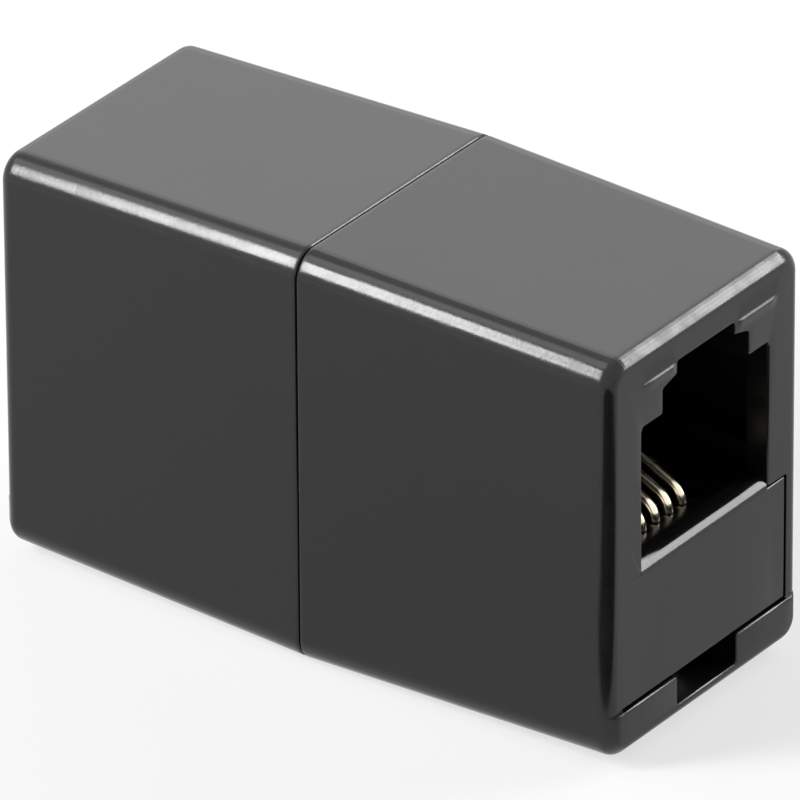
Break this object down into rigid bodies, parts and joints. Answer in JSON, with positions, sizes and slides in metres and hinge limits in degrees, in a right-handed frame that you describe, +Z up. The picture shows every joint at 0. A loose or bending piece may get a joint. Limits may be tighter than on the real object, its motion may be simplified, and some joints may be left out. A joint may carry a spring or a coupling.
{
  "type": "telephone inline coupler",
  "caption": "Black moulded inline coupler that joins two telephone plugs end to end: a tapered two-part housing, a stepped latch socket in each end and sprung contact wires inside.",
  "frame": {"origin": "under the middle of the seam, on the surface that the coupler stands on", "axes": "+X along the coupler towards the right-hand socket, +Y across it, +Z up, with the latch slots above the contacts"},
  "size_m": [0.0346, 0.0152, 0.0212],
  "materials": {
    "housing": "fine moulded satin, black",
    "carrier": "moulded satin, black",
    "contact": "thin gold plating on drawn spring wire"
  },
  "bodies": {
    "root": {"housing_half_right": "housing", "housing_half_left": "housing", "contact_carrier": "carrier", "contact_wire_1": "contact", "contact_wire_2": "contact", "contact_wire_3": "contact", "contact_wire_4": "contact"}
  },
  "joints": []
}
